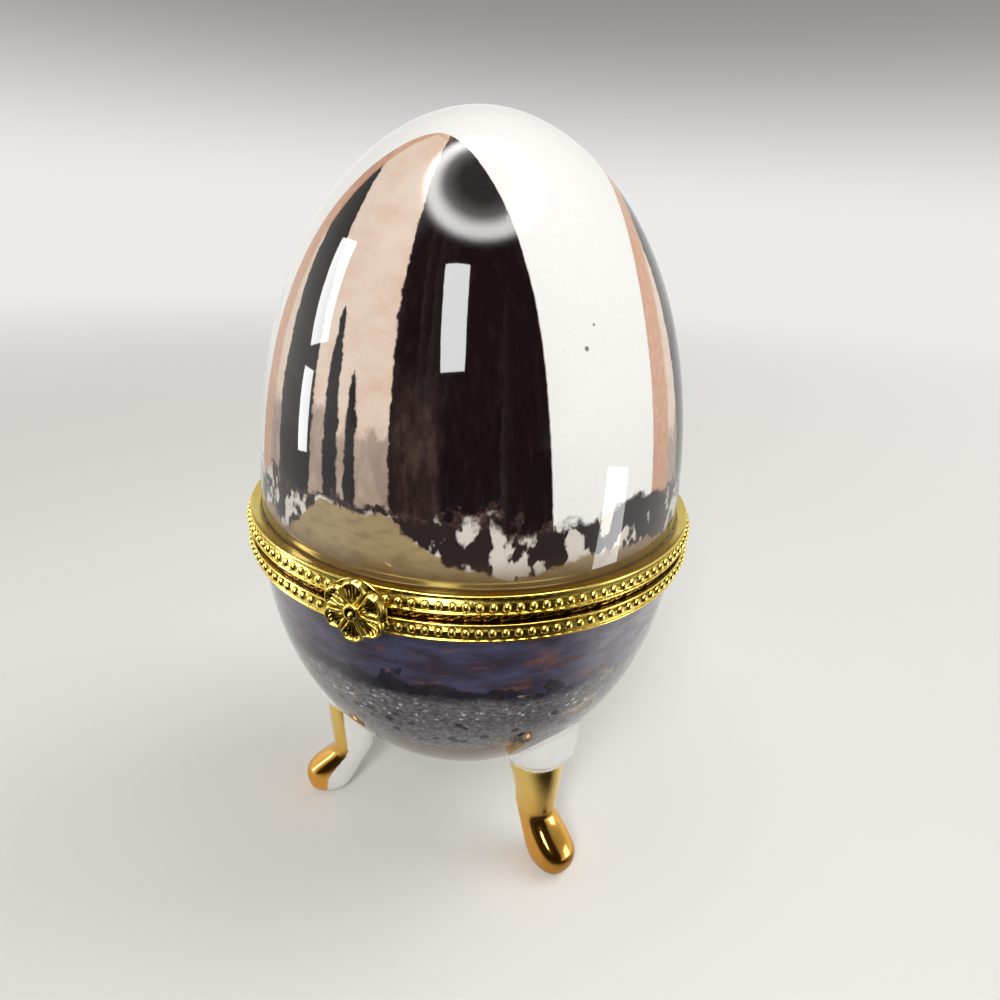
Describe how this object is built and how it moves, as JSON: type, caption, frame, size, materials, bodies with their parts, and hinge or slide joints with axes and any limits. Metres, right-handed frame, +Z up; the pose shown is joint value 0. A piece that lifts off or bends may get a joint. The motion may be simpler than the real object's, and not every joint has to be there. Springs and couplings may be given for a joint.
{
  "type": "egg trinket box on stand",
  "caption": "Egg-shaped porcelain trinket box on gilt-toed cabriole legs, with beaded brass collars, a lid hinged at the back and a flower-shaped clasp at the front.",
  "frame": {"origin": "on the egg's axis, at the level of the surface that the feet stand on", "axes": "+Z up along the egg's axis, -Y towards the clasp, +Y towards the hinge, +X to the right of someone facing the clasp"},
  "size_m": [0.072, 0.0772, 0.1185],
  "materials": {
    "lid_porcelain": "white porcelain under a clear gloss glaze, with printed panels",
    "bowl_porcelain": "porcelain under a clear gloss glaze, with an all-over printed dusk sky and ground",
    "leg_porcelain": "white gloss glaze, bright gilding on the outer face of the foot",
    "collar_gilt": "stamped and polished gilt brass, darker in the hollows",
    "lip_band_gilt": "embossed gilt brass, darkened in the groove",
    "clasp_gilt": "pressed and polished gilt brass",
    "hinge_gilt": "polished gilt brass",
    "cement": "matt set cement"
  },
  "bodies": {
    "base": {"bowl_shell": "bowl_porcelain", "bowl_cement": "cement", "bowl_collar": "collar_gilt", "lip_band": "lip_band_gilt", "catch_stud": "clasp_gilt", "hinge_leaf_bowl": "hinge_gilt", "hinge_pin": "hinge_gilt", "leg_front_left": "leg_porcelain", "leg_front_right": "leg_porcelain", "leg_rear": "leg_porcelain"},
    "lid": {"lid_shell": "lid_porcelain", "lid_cement": "cement", "lid_collar": "collar_gilt", "clasp_plate": "clasp_gilt", "clasp_flower": "clasp_gilt", "clasp_rivet": "clasp_gilt", "hinge_leaf_lid": "hinge_gilt"}
  },
  "joints": [
    {"name": "lid_hinge", "type": "hinge", "parent": "base", "child": "lid", "pos_m": [0, 0.03735, 0.0588], "axis": [-1, 0, 0], "range_deg": [0, 95]}
  ]
}
